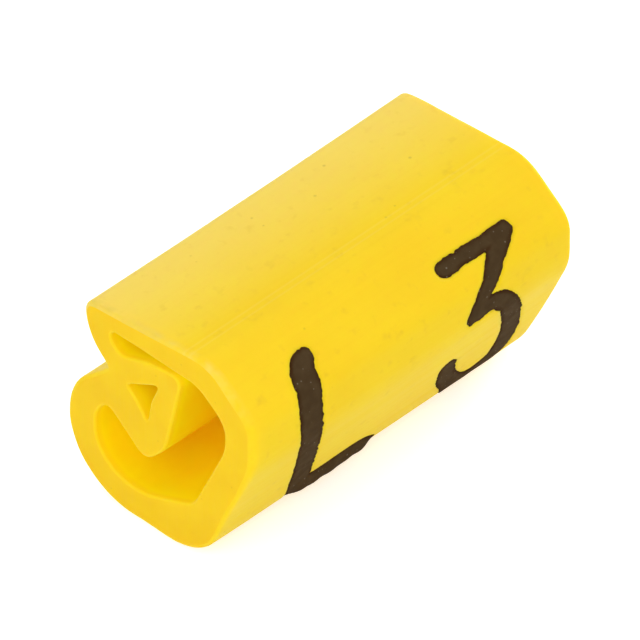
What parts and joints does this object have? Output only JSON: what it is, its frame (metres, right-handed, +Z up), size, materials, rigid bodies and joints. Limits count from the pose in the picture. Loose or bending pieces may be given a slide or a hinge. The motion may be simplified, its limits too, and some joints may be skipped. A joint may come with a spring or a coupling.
{
  "type": "cable marker",
  "caption": "Short slide-on marker sleeve of soft yellow plastic for a single wire, with an oval bore, a folded inner spring tongue and a legend flank.",
  "frame": {"origin": "centre of the sleeve's footprint, on the surface that its base flat rests on", "axes": "+X along the sleeve from the end that is read first to the other end, +Z up, -Y towards the legend flank and +Y towards the notch of the fold"},
  "size_m": [0.009, 0.0052, 0.0053],
  "materials": {
    "soft_pvc": "satin"
  },
  "bodies": {
    "root": {"marker_sleeve": "soft_pvc"}
  },
  "joints": []
}
